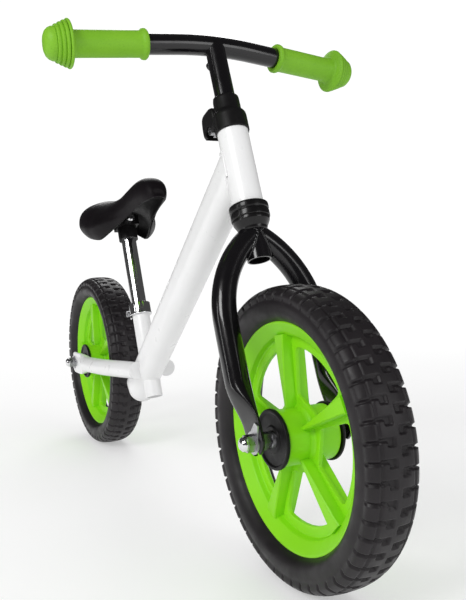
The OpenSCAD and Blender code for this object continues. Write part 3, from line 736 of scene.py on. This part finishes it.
def leg_skin():
    """The left leg: bent from the crown, straight, then pressed flat and round about the axle."""
    start = 56.0
    path, sizes = [], []
    for k in range(21):
        a = math.radians(start * (1 - k / 20))
        y = LEG_Y - LEG_BEND_R * (1 - math.cos(a))
        path.append(Vector((0, y, LEG_BEND_Z + LEG_BEND_R * math.sin(a))))
        sizes.append((LEG_R, LEG_R, 2))
    flat_top, flat_foot, end = 60.0, 18.0, -13.0
    heights = list(np.arange(110, flat_top, -8)) + list(np.arange(flat_top, -4, -2.5)) + [
        -5.5, -7.5, -9.3, -10.8, -12.0, -12.7, end]
    for z in heights:
        flat = eased(flat_top - z, 0, flat_top - flat_foot)
        forward = FRONT_AXLE_MM.x * eased(flat_top - z, 0, flat_top)
        path.append(Vector((forward, LEG_Y + (AXLE_PLATE_Y - LEG_Y) * flat, z)))
        half_width = LEG_R + 3.2 * flat
        if z < 2:
            half_width *= math.sqrt(max(1 - ((2 - z) / (2 - end)) ** 2, 0.002))
        sizes.append((half_width, LEG_R + (2.2 - LEG_R) * flat, 2 + 2.5 * flat))
    return tube_skin(path, sizes, (0, 1, 0), 48)


def fork_leg(side, name):
    """One leg with the slot for the axle cut in its foot."""
    x, foot = FRONT_AXLE_MM.x, -30.0
    inner, outer = AXLE_PLATE_Y - 8, AXLE_PLATE_Y + 8
    bore = rod(AXLE_SLOT, (x, inner, 0), (x, outer, 0))
    mouth = block((x - AXLE_SLOT, inner, foot), (x + AXLE_SLOT, outer, 0.5), SHARP)
    skin = carved(leg_skin(), [bore, mouth])
    if side < 0:
        skin = mirrored(skin)
    new_piece(f"{name}_tube", *skin, "fork_paint", "fork", [name], 35, STEER_MM)


STAY_R = 12.5


def stay_skin():
    """The left chainstay: out round the tyre, then pressed flat into the axle plate."""
    route = [(-79, 23, 158), (-126, 31.6, 155.4), (-168, 39.4, 153), (-190, 42.4, 151.8), (-230, 44.5, 149.5),
             (-266, 46.2, 147.4), (-288, 48.4, 145.8), (-306, 49, 145), (-331, 49, 145)]
    path = smooth_path(route, 90)
    sizes = []
    for p in path:
        flat = eased(-p.x, 258, 290)
        end = eased(-p.x, 324, 331)
        half_thick = STAY_R + (2.1 - STAY_R) * flat
        sizes.append((half_thick, STAY_R + 5.0 * flat - 2.0 * end, 2 + 4 * flat))
    return tube_skin(path, sizes, (0, 0, 1), 48)


def chainstay(side, name):
    """One stay with the slot for the axle cut in its plate."""
    x, z = REAR_AXLE_MM.x, REAR_AXLE_MM.z
    inner, outer = AXLE_PLATE_Y - 8, AXLE_PLATE_Y + 8
    bore = rod(AXLE_SLOT, (x, inner, z), (x, outer, z))
    mouth = block((x - 20, inner, z - AXLE_SLOT), (x + 0.5, outer, z + AXLE_SLOT), SHARP)
    skin = carved(stay_skin(), [bore, mouth])
    if side < 0:
        skin = mirrored(skin)
    new_piece(f"{name}_tube", *skin, "frame_paint", "frame", [name], 35, IN_MM)


# ---- handlebar and grips

BAR_R = 11.1
MOUNTS = {mount["name"]: mount for mount in frame["record"]["mounts"]}
# Distance from the bar's middle to a handlebar mount
MOUNT_REACH = 46.0


def half_axis(name):
    """Middle of the bar in mm and the direction of one half, from that half's mount."""
    mount = MOUNTS[name]
    direction = Vector(mount["axis"]).normalized()
    return Vector(mount["pos_m"]) / MM - direction * MOUNT_REACH, direction


def handlebar():
    """One tube, bent in a smooth curve behind the stem."""
    middle, left = half_axis("handlebar_left")
    right = half_axis("handlebar_right")[1]
    tip, bend = 181.0, 46.0
    path = [middle + right * r for r in evenly(tip, bend, 12)]
    a, b = middle + right * bend, middle + left * bend
    path += curved(a, middle, b, 17)[1:-1]
    path += [middle + left * r for r in evenly(bend, tip, 12)]
    skin = tube_skin(path, [(BAR_R, BAR_R, 2)] * len(path), STEER.col[2].to_3d(), 48)
    new_piece("handlebar_tube", *skin, "fork_paint", "bars", ["handlebar"], 35, IN_MM)


def grip(name, mount):
    """Rubber grip: a bead at its foot, a wide flange and three stepped rings under a dome."""
    foot, tip, bore = 80.0, 190.0, BAR_R + 0.15
    dome = [(0.0, tip), (5.0, tip - 0.2), (9.5, tip - 1.0), (13.2, tip - 2.7), (15.8, tip - 5.4),
            (17.2, tip - 8.6), (17.5, tip - 11.4)]
    rings = []
    for r, z in ((19.6, tip - 14.0), (21.6, tip - 18.2), (23.4, tip - 22.2)):
        rings += [(r - 2.6, z + 2.1), (r - 0.5, z + 1.7), (r, z + 0.8), (r, z - 0.8), (r - 0.6, z - 1.6)]
    flange = [(21.6, tip - 24.2), (24.2, tip - 24.4), (25.0, tip - 25.2), (25.0, tip - 26.4),
              (24.0, tip - 27.4), (17.5, tip - 28.6), (15.0, tip - 29.6), (14.1, tip - 31.5)]
    body = [(14.0, tip - 40), (14.0, foot + 20), (14.05, foot + 8), (14.5, foot + 6.4), (16.0, foot + 5.2),
            (16.4, foot + 3.8), (16.4, foot + 1.6), (15.4, foot + 0.3), (12.0, foot), (bore, foot + 0.6),
            (bore, tip - 9), (0.0, tip - 9)]
    middle, direction = half_axis(mount)
    skin = lathe(dome + rings + flange + body)
    place = axis_frame(middle, direction, (0, 0, 1))
    new_piece(f"{name}_rubber", *skin, "grip_rubber", "bars", [name], 50, IN_MM @ place)


# ---- clamp cover, headset, seat clamp

COVER_FOOT = along(STEER_MM, "clamp_cover")[0]
COVER_TOP = along(STEER_MM, "clamp_cover")[1]
CLAMP_TOP = along(STEER_MM, "bar_clamp")[1]
CROWN_TOP = along(STEER_MM, "crown_race")[0]
CUP_FOOT = along(STEER_MM, "lower_cup")[0]
HEAD_FOOT = along(STEER_MM, "head_tube")[0]


def cover_outline():
    """Outside of the cover: bell, shoulder and sleeve, as (radius, height)."""
    return [(18.2, COVER_FOOT), (18.9, COVER_FOOT + 0.8), (18.9, CLAMP_TOP - 3.5), (18.5, CLAMP_TOP - 0.5),
            (17.3, CLAMP_TOP + 1.6), (15.4, CLAMP_TOP + 3.4), (14.7, CLAMP_TOP + 5.6),
            (14.6, COVER_TOP - 4.0), (14.3, COVER_TOP - 1.6), (13.2, COVER_TOP - 0.3), (12.2, COVER_TOP)]


def cover_ridge(angle):
    """A thin ridge that runs down the sleeve and over the bell."""
    half, proud = 0.8, 0.8
    place = Matrix.Rotation(math.radians(angle), 4, "Z")
    rings = []
    for r, z in cover_outline()[1:-1]:
        rings.append([(r - 1, -half, z), (r + proud * 0.6, -half, z), (r + proud, -half * 0.5, z),
                      (r + proud, half * 0.5, z), (r + proud * 0.6, half, z), (r - 1, half, z)])
    return moved(loft(rings), place)


def cover_lobe():
    """Round-backed housing for the clamp's ears: hollow, open below, with a window on each side."""
    back, low, high, half = -40.0, CLAMP_TOP - 10.5, CLAMP_TOP + 18.5, 16.0
    outline = rounded([(-8, low), (back + 1, low), (back, low + 12), (back + 3, high), (-8, high)], 11, 8)
    middle_x, middle_z = -22.0, (low + high) / 2
    rings = []
    rounding = [(half, 3.4), (half - 0.7, 1.4), (half - 2.6, 0.0)]
    for y, inset in [(-y, inset) for y, inset in rounding] + rounding[::-1]:
        share = 1 - inset / 15
        rings.append([(middle_x + (x - middle_x) * share, y, middle_z + (z - middle_z) * share)
                      for x, z in outline])
    hollow = block((back + 3, -half + 2.2, low - 10), (-10, half - 2.2, low + 18), 2.0)
    window = rod(7.0, (-25, -half - 4, low + 4), (-25, half + 4, low + 4), 40)
    return carved(loft(rings), [hollow, window])


def clamp_cover():
    """Soft black cover over the handlebar clamp: shell, ridges and the housing behind it."""
    bore, inner = BAR_R + 0.35, 17.3
    inside = [(bore, COVER_TOP), (bore, CLAMP_TOP + 14), (13.0, CLAMP_TOP + 12), (13.0, CLAMP_TOP + 3),
              (inner, CLAMP_TOP + 0.6), (inner, COVER_FOOT)]
    shell = lathe(cover_outline() + inside)
    ridges = [cover_ridge(side * a) for side in (-1, 1) for a in (84, 93)]
    skin = joined([shell, cover_lobe(), *ridges])
    new_piece("clamp_cover_shell", *skin, "cover_plastic", "fork", ["clamp_cover"], 38, STEER_MM)


def headset():
    """Lower cup with its groove, and the race that tapers onto the crown."""
    cup = [(13.8, HEAD_FOOT + 0.2), (20.0, HEAD_FOOT + 0.2), (21.0, HEAD_FOOT - 0.6), (21.3, HEAD_FOOT - 2.4),
           (21.2, HEAD_FOOT - 6.4), (20.3, HEAD_FOOT - 7.2), (20.2, HEAD_FOOT - 8.2), (20.9, HEAD_FOOT - 9.0),
           (20.9, CUP_FOOT - 1.4), (20.3, CUP_FOOT - 2.2), (20.0, CUP_FOOT - 2.2), (20.0, CUP_FOOT),
           (13.8, CUP_FOOT)]
    race = [(12.8, CROWN_TOP), (14.4, CROWN_TOP), (15.2, CROWN_TOP + 1.4), (15.6, CROWN_TOP + 3.6),
            (18.2, CROWN_TOP + 8.4), (19.6, CROWN_TOP + 11.0), (19.7, CROWN_TOP + 12.4),
            (19.7, CUP_FOOT - 0.5), (12.8, CUP_FOOT - 0.5)]
    new_piece("lower_cup_ring", *lathe(rounded(cup, 0.7, 3)), "dark_steel", "frame", ["lower_cup"], 38,
              STEER_MM)
    new_piece("crown_race_ring", *lathe(rounded(race, 0.7, 3)), "dark_steel", "fork", ["crown_race"], 38,
              STEER_MM)


def middle_of(node):
    """Middle of a CAD node's box."""
    low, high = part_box(node)
    return (low + high) / 2


SEAT_MM = axis_frame(middle_of("seatpost"), JOINTS["saddle_height"]["axis"]) @ IN_MM
SEAT_TUBE_TOP = along(SEAT_MM, "seat_tube")[1]


def seat_clamp():
    """Split collar with a lip at its foot and two ears for the bolt."""
    top, foot, bore = SEAT_TUBE_TOP, SEAT_TUBE_TOP - 18.0, 12.75
    ring = [(bore, foot), (15.9, foot), (16.9, foot + 0.8), (16.9, foot + 2.2), (16.0, foot + 3.4),
            (16.0, top + 0.3), (bore, top + 0.3)]
    split = block((-24, -1.25, foot - 3), (-8, 1.25, top + 3), SHARP)
    collar = carved(lathe(rounded(ring, 0.6, 3)), [split])
    ears = [block((-26, low, foot + 0.6), (-14.6, high, top - 0.4), 1.4)
            for low, high in ((-8.4, -1.3), (1.3, 8.4))]
    skin = joined([collar, *ears])
    new_piece("seat_clamp_collar", *skin, "chrome_plate", "frame", ["seat_clamp"], 35, SEAT_MM)


# ---- saddle

PAD_LOW, PAD_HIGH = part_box("saddle_pad")
SADDLE_LEN = (PAD_HIGH.x - PAD_LOW.x) / MM
SADDLE_TAIL = PAD_LOW.x / MM
SADDLE_HALF = PAD_HIGH.y / MM
# Place along the saddle, share of the full width, heights of the top and of the hem, curl of the hem
SADDLE_STATIONS = [
    (0.00, 0.20, 397, 389, 30), (0.012, 0.44, 403, 381, 32), (0.04, 0.66, 408, 372, 35),
    (0.10, 0.88, 412, 363, 37), (0.19, 0.97, 413, 356, 39), (0.27, 0.95, 411, 352.5, 40),
    (0.32, 0.89, 409.5, 351.5, 40), (0.37, 0.84, 409, 353, 39), (0.45, 0.74, 409, 360, 37),
    (0.57, 0.58, 414, 372, 34), (0.70, 0.47, 425, 384, 31), (0.80, 0.41, 432, 392, 28),
    (0.88, 0.36, 433, 397, 26), (0.945, 0.29, 428, 400, 24), (0.985, 0.19, 417, 402, 22),
    (1.00, 0.07, 408, 403, 20)]
# How far a skin lies under the saddle's outside, at the hem and at the top
PAD_OUT, PAD_IN = (0.8, 1.2), (4.4, 9.0)
BASE_OUT, BASE_IN = (4.7, 9.4), (7.2, 12.4)
# How far the middle of a hem stands below its two edges
HEM_ROUND = 0.7
CLOTH_FRAMES = 20


def smooth_rows(rows, count):
    """Rows of numbers with a smooth curve run through them by their first number, closer at both ends."""
    place = [row[0] for row in rows]
    result = []
    for turn in evenly(0, math.pi, count):
        share = place[0] + (place[-1] - place[0]) * (1 - math.cos(turn)) / 2
        i = min(max(k for k in range(len(rows)) if place[k] <= share + 1e-9), len(rows) - 2)
        t = (share - place[i]) / (place[i + 1] - place[i])
        row = [share]
        for column in range(1, len(rows[0])):
            v0, v1 = rows[i][column], rows[i + 1][column]

            def slope(k):
                low, high = max(k - 1, 0), min(k + 1, len(rows) - 1)
                return (rows[high][column] - rows[low][column]) / (place[high] - place[low])

            span = place[i + 1] - place[i]
            m0, m1 = slope(i) * span, slope(i + 1) * span
            row.append((2 * t ** 3 - 3 * t * t + 1) * v0 + (t ** 3 - 2 * t * t + t) * m0
                       + (3 * t * t - 2 * t ** 3) * v1 + (t ** 3 - t * t) * m1)
        result.append(row)
    return result


def saddle_arc(row, under, closing, steps=38):
    """One section of a skin, from hem to hem over the top. A closing of 0 lays it flat at the hem."""
    share, width, top, low, curl = row
    at_hem, at_top = under
    squareness = 2 / 2.4
    half = width * SADDLE_HALF
    middle = low + 0.36 * (top - low)
    x = SADDLE_TAIL + share * SADDLE_LEN
    arc = []
    for a in evenly(-curl, 180 + curl, steps + 1):
        c, v = math.cos(math.radians(a)), math.sin(math.radians(a))
        if v > 0:
            y = half * signed_power(c, squareness)
            z = middle + (top - middle) * v ** squareness
        else:
            y = half * c
            z = middle + (middle - low) * v / math.sin(math.radians(curl))
        rise = (z - low) / (top - low)
        y *= max(1 - (at_hem + (at_top - at_hem) * rise) / half, 0.1)
        z = low + (z - low) * max(1 - at_top / (top - low), 0.15) * closing
        arc.append((x, y, z))
    return arc


def saddle_shell(outer, inner, ends, wall, rows=72):
    """A shell between two depths, with a rounded hem. Its end walls are solid for a share of its length."""
    rings = []
    for row in smooth_rows(SADDLE_STATIONS, rows):
        if not ends[0] <= row[0] <= ends[1]:
            continue
        reach = min(row[0] - ends[0], ends[1] - row[0])
        over = saddle_arc(row, outer, 1)
        under = saddle_arc(row, inner, max(eased(reach, wall * 0.4, wall), 0.04))
        first, last = [(Vector(over[k]) + Vector(under[k])) / 2 - Vector((0, 0, HEM_ROUND)) for k in (0, -1)]
        rings.append(over + [last] + under[::-1] + [first])
    return loft(rings)


def baked(holder):
    """The mesh that an object's modifiers make."""
    bpy.context.view_layer.update()
    return bpy.data.meshes.new_from_object(holder.evaluated_get(bpy.context.evaluated_depsgraph_get()))


def puffed(skin, matrix, held, pressure=4.0, cap=0.003):
    """A skin as padded cloth. held(point) is 0 where the cloth is free and 1 where it is fixed."""
    mesh = skin_mesh("pad", *skin)
    mesh.transform(matrix)
    holder = bpy.data.objects.new("pad", mesh)
    scene = bpy.context.scene
    scene.collection.objects.link(holder)
    before = [v.co.copy() for v in holder.data.vertices]
    cloth = holder.modifiers.new("cloth", "CLOTH")
    cloth.settings.use_pressure = True
    cloth.settings.uniform_pressure_force = pressure
    cloth.settings.effector_weights.gravity = 0
    cloth.point_cache.frame_start, cloth.point_cache.frame_end = 1, CLOTH_FRAMES
    for number in range(1, CLOTH_FRAMES + 1):
        scene.frame_set(number)
    after = baked(holder)
    holder.modifiers.clear()
    for vertex, old, new in zip(holder.data.vertices, before, after.vertices):
        move = new.co - old
        if move.length > cap:
            move *= cap / move.length
        vertex.co = old + move * (1 - held(old))
    scene.frame_set(1)
    subdivide = holder.modifiers.new("subdivide", "SUBSURF")
    subdivide.levels = subdivide.render_levels = 1
    mesh = baked(holder)
    bpy.data.objects.remove(holder)
    return mesh


def saddle():
    """Foam pad over a moulded base that is hollow below."""
    hem = min(row[3] for row in SADDLE_STATIONS) * MM

    def held(p):
        return 1 - eased(p.z - hem, 0.012, 0.035)

    pad = saddle_shell(PAD_OUT, PAD_IN, (0, 1), 0.03)
    mesh = puffed(pad, IN_MM, held)
    piece = finish_piece(mesh, "saddle_cushion", "saddle_skin", "saddle", ["saddle_pad"], 60)
    base = saddle_shell(BASE_OUT, BASE_IN, (0.035, 0.965), 0.012)
    new_piece("saddle_base_shell", *base, "saddle_shell", "saddle", ["saddle_base"], 40, IN_MM)


# ---- weld beads


def first_inside(curve, inside, steps=120):
    """The first point of curve(0..1) that is inside."""
    before = 0.0
    for k in range(steps + 1):
        t = k / steps
        if inside(curve(t)):
            for _ in range(14):
                middle = (before + t) / 2
                if inside(curve(middle)):
                    t = middle
                else:
                    before = middle
            return curve(t)
        before = t
    return None


def bead(points, width, side, seed):
    """A rippled bead of weld along closed points. The seed shifts its unevenness."""
    path = [Vector(p) for p in points]
    sizes = []
    for i, p in enumerate(path):
        ripple = 0.10 * math.sin(i * 2 * math.pi * 26 / len(path))
        uneven = 0.12 * noise.noise(p * 0.35 + Vector((seed, 0, 0)))
        half = width * (1 + ripple + uneven)
        sizes.append((half, half, 2))
    return tube_skin(path, sizes, side, 12, closed=True)


STEERER_R = 12.7
STEERER_TAIL = 31.0
HEAD_R = 17.1
# Down tube: where its middle line starts in the head tube, its direction and its oval section
DOWN_TOP = Vector((216.6, 0, 416.65))
DOWN_WAY = Vector((-0.766, 0, -0.643)).normalized()
DOWN_FLAT = 6.5
DOWN_ROUND = 18.5


def in_steerer(p):
    """Whether a point in the steering axis's frame is in the steerer below the crown."""
    return math.hypot(p.x, p.y) < STEERER_R and CROWN_TOP - STEERER_TAIL < p.z


def in_head(p):
    """Whether a point is in the head tube."""
    place = STEER_MM.inverted() @ (p * MM)
    return math.hypot(place.x, place.y) < HEAD_R


def crown_welds():
    """Beads where the two legs meet the steerer."""
    parts = []
    for side in (-1, 1):
        points = []
        for k in range(120):
            phi = 2 * math.pi * k / 120

            def along_leg(t, phi=phi, side=side):
                a = math.radians(30 + 34 * t)
                r = LEG_BEND_R + LEG_R * math.cos(phi)
                y = LEG_Y - LEG_BEND_R + r * math.cos(a)
                return Vector((LEG_R * math.sin(phi), side * y, LEG_BEND_Z + r * math.sin(a)))

            hit = first_inside(along_leg, in_steerer)
            if hit is not None and hit.z < CROWN_TOP + 1:
                points.append(hit)
        if len(points) > 60:
            parts.append(bead(points, 1.7, (0, 0.35, 1), 3 + side))
    return parts


def head_tube_weld():
    """Bead where the down tube meets the head tube."""
    across = DOWN_WAY.cross(Vector((0, 1, 0))).normalized()
    points = []
    for k in range(160):
        phi = 2 * math.pi * k / 160
        a = DOWN_ROUND * math.cos(phi) + math.copysign(DOWN_FLAT, math.cos(phi))
        start = DOWN_TOP + DOWN_WAY * 120 + across * a + Vector((0, DOWN_ROUND * math.sin(phi), 0))

        def up_tube(t, start=start):
            return start - DOWN_WAY * 130 * t

        hit = first_inside(up_tube, in_head, 160)
        if hit is not None:
            points.append(hit)
    return bead(points, 2.0, (0.3, 0, 1), 7)


def welds():
    """The beads on the fork and on the frame."""
    parts = crown_welds()
    if parts:
        new_piece("crown_weld_beads", *joined(parts), "fork_paint", "fork", (), 60, STEER_MM)
    new_piece("head_tube_weld_bead", *head_tube_weld(), "frame_paint", "frame", (), 60, IN_MM)


# ---- camera, light, floor


def camera():
    """The view: from ahead of the bike and on its right, a little below the saddle."""
    place = Vector((0.8974, -0.3601, 0.3183))
    yaw, pitch, roll = math.radians(153.0), math.radians(-3.5), math.radians(-2.0)
    look = Vector((math.cos(pitch) * math.cos(yaw), math.cos(pitch) * math.sin(yaw), math.sin(pitch)))
    right = look.cross(Vector((0, 0, 1))).normalized()
    upward = right.cross(look)
    right, upward = (right * math.cos(roll) + upward * math.sin(roll),
                     -right * math.sin(roll) + upward * math.cos(roll))
    data = bpy.data.cameras.new("camera")
    data.lens = 42.66
    data.sensor_width = 36
    holder = bpy.data.objects.new("camera", data)
    holder.matrix_world = Matrix.Translation(place) @ Matrix((right, upward, -look)).transposed().to_4x4()
    bpy.context.scene.collection.objects.link(holder)
    bpy.context.scene.camera = holder


def area_light(name, place, target, size, power, size_y=None):
    """A soft light at a place, turned to its target."""
    data = bpy.data.lights.new(name, "AREA")
    data.shape = "RECTANGLE"
    data.size = size
    data.size_y = size_y or size
    data.energy = power
    holder = bpy.data.objects.new(name, data)
    direction = (Vector(target) - Vector(place)).normalized()
    holder.matrix_world = Matrix.Translation(place) @ direction.to_track_quat("-Z", "Y").to_matrix().to_4x4()
    bpy.context.scene.collection.objects.link(holder)


def studio_world():
    """White to the camera, softer on the object, and dim in reflections so that gloss stays deep."""
    world = bpy.data.worlds.new("studio")
    world.use_nodes = True
    tree = world.node_tree
    back = tree.nodes["Background"]
    back.inputs["Color"].default_value = (1, 1, 1, 1)
    path = tree.nodes.new("ShaderNodeLightPath")
    unseen = tree.nodes.new("ShaderNodeMapRange")
    unseen.inputs["To Min"].default_value = 0.52
    unseen.inputs["To Max"].default_value = 0.07
    seen = tree.nodes.new("ShaderNodeMapRange")
    seen.inputs["To Max"].default_value = 1.05
    tree.links.new(path.outputs["Is Glossy Ray"], unseen.inputs["Value"])
    tree.links.new(path.outputs["Is Camera Ray"], seen.inputs["Value"])
    tree.links.new(unseen.outputs["Result"], seen.inputs["To Min"])
    tree.links.new(seen.outputs["Result"], back.inputs["Strength"])
    bpy.context.scene.world = world
    bpy.context.scene.view_settings.view_transform = "Standard"


def studio_floor():
    """Pale floor that fades to the white of the backdrop away from the object."""
    side = 8.0
    mesh = bpy.data.meshes.new("floor")
    corners = [(-side, -side, 0), (side, -side, 0), (side, side, 0), (-side, side, 0)]
    mesh.from_pydata(corners, [], [(0, 1, 2, 3)])
    m = Nodes("floor")
    m.link(m.ramp(m.noise(3, 3), "Fac", [(0.3, (0.60, 0.60, 0.60)), (0.7, (0.61, 0.61, 0.61))]), "Color",
           m.shader, "Base Color")
    m.set(Roughness=0.95, Specular_IOR_Level=0.1, Emission_Color=(1, 1, 1, 1), Emission_Strength=0.4)
    far = m.add("ShaderNodeEmission")
    far.inputs["Strength"].default_value = 1.02
    distance = m.add("ShaderNodeVectorMath", operation="LENGTH")
    m.link(m.coords, "Object", distance, 0)
    mix = m.add("ShaderNodeMixShader")
    m.link(m.spread(distance, "Value", 0, 1, 0.6, 1.6), "Result", mix, "Fac")
    m.tree.links.new(m.shader.outputs[0], mix.inputs[1])
    m.tree.links.new(far.outputs[0], mix.inputs[2])
    m.link(mix, "Shader", m.output, "Surface")
    mesh.materials.append(m.material)
    floor = bpy.data.objects.new("floor", mesh)
    floor.location.z = -0.0005
    bpy.context.scene.collection.objects.link(floor)


def studio():
    """World, floor and four soft lights."""
    studio_world()
    studio_floor()
    middle = (0.1, 0, 0.25)
    area_light("key", (1.0, -1.7, 1.5), middle, 0.8, 20)
    area_light("fill", (2.1, 0.9, 0.9), middle, 0.9, 8)
    area_light("back", (-1.6, 0.6, 1.5), middle, 1.0, 12)
    area_light("strip", (0.0, -2.0, 0.45), middle, 0.16, 4, size_y=1.5)


# ---- build

paint_cad_nodes()
camera()
studio()
wheels()
fork_leg(1, "fork_leg_left")
fork_leg(-1, "fork_leg_right")
chainstay(1, "chainstay_left")
chainstay(-1, "chainstay_right")
handlebar()
grip("grip_left", "handlebar_left")
grip("grip_right", "handlebar_right")
clamp_cover()
headset()
seat_clamp()
saddle()
welds()
